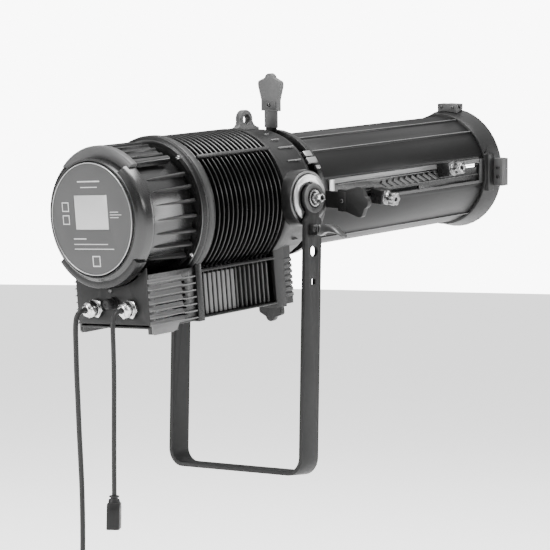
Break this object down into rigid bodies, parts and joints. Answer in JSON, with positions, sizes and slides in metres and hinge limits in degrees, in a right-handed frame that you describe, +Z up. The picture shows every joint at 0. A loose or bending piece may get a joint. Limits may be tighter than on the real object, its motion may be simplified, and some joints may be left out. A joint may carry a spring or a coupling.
{
  "type": "ellipsoidal spotlight",
  "caption": "Lamp-array ellipsoidal spotlight: finned head, turning lens barrel with four shutters and two sliding lenses, tilting in a strap yoke.",
  "frame": {"origin": "the hanging-bolt hole on the underside of the yoke's base", "axes": "+X level, the way the beam points; +Z up; +Y to the left of somebody looking along the beam. The head is stored tilted 7.5 degrees up and the barrel turned 4.5 degrees about the beam."},
  "size_m": [0.8986, 0.4066, 0.8789],
  "materials": {
    "satin_black": "satin black powder coat",
    "heat_sink_black": "black anodised",
    "yoke_paint": "fine-textured black paint",
    "label_grey": "printed dark grey film",
    "screen_glass": "clear window over a pale display",
    "board_green": "solder resist",
    "bright_steel": "nickel plated",
    "dark_steel": "blackened",
    "black_plastic": "moulded",
    "black_rubber": "rubber sheath",
    "lens_glass": "polished",
    "led_yellow": "phosphor",
    "bare_aluminium": "machined",
    "mirror": "polished aluminium"
  },
  "bodies": {
    "yoke": {"yoke": "yoke_paint", "trunnion_bolt_near": "dark_steel", "trunnion_bolt_far": "dark_steel", "clamp_clevis": "dark_steel"},
    "cam_lever": {"cam_lever": "satin_black"},
    "head": {"rear_cover": "satin_black", "label_plate": "label_grey", "touch_screen": "screen_glass", "display_board": "board_green", "top_block": "satin_black", "ribbed_drum": "satin_black", "rear_flange": "satin_black", "fan_frame": "black_plastic", "heat_sink": "heat_sink_black", "tie_bar_near": "satin_black", "tie_bar_far": "satin_black", "lower_fins": "heat_sink_black", "lower_frame": "satin_black", "led_board": "board_green", "led_array": "led_yellow", "collimator": "mirror", "gate_plate": "dark_steel", "front_housing": "satin_black", "safety_eyelet": "satin_black", "tilt_disc_near": "bare_aluminium", "tilt_disc_far": "bare_aluminium", "driver_case": "satin_black", "rear_panel": "satin_black", "driver_unit": "bare_aluminium", "gland_mains": "bright_steel", "gland_link": "bright_steel", "fuse_holder": "black_plastic", "mains_cord": "black_rubber", "mains_coil": "black_rubber", "mains_plug": "black_plastic", "link_cord": "black_rubber", "link_connector": "black_plastic"},
    "fan": {"fan_rotor": "black_plastic"},
    "fuse_cap": {"fuse_cap": "black_plastic"},
    "barrel": {"shutter_collar": "satin_black", "lens_tube": "satin_black", "slide_plate": "dark_steel", "front_ring": "satin_black", "frame_clip": "satin_black", "side_clip": "satin_black"},
    "shutter_top": {"shutter_top": "dark_steel", "grip_top": "black_plastic"},
    "shutter_near": {"shutter_near": "dark_steel", "grip_near": "black_plastic"},
    "shutter_bottom": {"shutter_bottom": "dark_steel", "grip_bottom": "black_plastic"},
    "shutter_far": {"shutter_far": "dark_steel", "grip_far": "black_plastic"},
    "rear_carriage": {"carriage_rear": "satin_black", "lens_rear": "lens_glass"},
    "front_carriage": {"carriage_front": "satin_black", "lens_front": "lens_glass"},
    "rear_knob": {"knob_rear": "bright_steel"},
    "front_knob": {"knob_front": "bright_steel"},
    "latch": {"frame_latch": "dark_steel"}
  },
  "joints": [
    {"name": "head_tilt", "type": "hinge", "parent": "yoke", "child": "head", "pos_m": [0, 0, 0.425], "axis": [0, -1, 0], "range_deg": [-24, 40]},
    {"name": "lever_turn", "type": "hinge", "parent": "yoke", "child": "cam_lever", "pos_m": [-0.002, -0.1533, 0.376], "axis": [1, 0, 0], "range_deg": [-60, 75]},
    {"name": "fan_spin", "type": "hinge", "parent": "head", "child": "fan", "pos_m": [-0.22545, 0, 0.39835], "axis": [0.9914, 0, 0.1305], "continuous": true},
    {"name": "fuse_turn", "type": "hinge", "parent": "head", "child": "fuse_cap", "pos_m": [-0.30306, -0.005, 0.26003], "axis": [-0.9914, 0, -0.1305], "range_deg": [0, 90]},
    {"name": "barrel_turn", "type": "hinge", "parent": "head", "child": "barrel", "pos_m": [0.0591, 0, 0.43581], "axis": [0.9914, 0, 0.1305], "range_deg": [-27, 20.5]},
    {"name": "shutter_top_slide", "type": "slide", "parent": "barrel", "child": "shutter_top", "axis": [-0.1301, -0.0785, 0.9884], "range_m": [-0.028, 0.014]},
    {"name": "shutter_near_slide", "type": "slide", "parent": "barrel", "child": "shutter_near", "axis": [0.0102, -0.9969, -0.0778], "range_m": [-0.043, 0]},
    {"name": "shutter_bottom_slide", "type": "slide", "parent": "barrel", "child": "shutter_bottom", "axis": [0.1301, 0.0785, -0.9884], "range_m": [-0.042, 0]},
    {"name": "shutter_far_slide", "type": "slide", "parent": "barrel", "child": "shutter_far", "axis": [-0.0102, 0.9969, 0.0778], "range_m": [-0.041, 0]},
    {"name": "rear_lens_slide", "type": "slide", "parent": "barrel", "child": "rear_carriage", "axis": [0.9914, 0, 0.1305], "range_m": [-0.096, 0.118]},
    {"name": "rear_knob_turn", "type": "hinge", "parent": "rear_carriage", "child": "rear_knob", "pos_m": [0.20788, -0.12586, 0.43187], "axis": [0.0238, -0.9833, -0.1807], "range_deg": [0, 180]},
    {"name": "front_lens_slide", "type": "slide", "parent": "barrel", "child": "front_carriage", "axis": [0.9914, 0, 0.1305], "range_m": [-0.08, 0.1]},
    {"name": "front_knob_turn", "type": "hinge", "parent": "front_carriage", "child": "front_knob", "pos_m": [0.38, -0.1276, 0.48818], "axis": [-0.0102, -0.9969, 0.0778], "range_deg": [0, 180]},
    {"name": "latch_turn", "type": "hinge", "parent": "barrel", "child": "latch", "pos_m": [0.52592, -0.00858, 0.60717], "axis": [0.0102, -0.9969, -0.0778], "range_deg": [0, 95]}
  ]
}
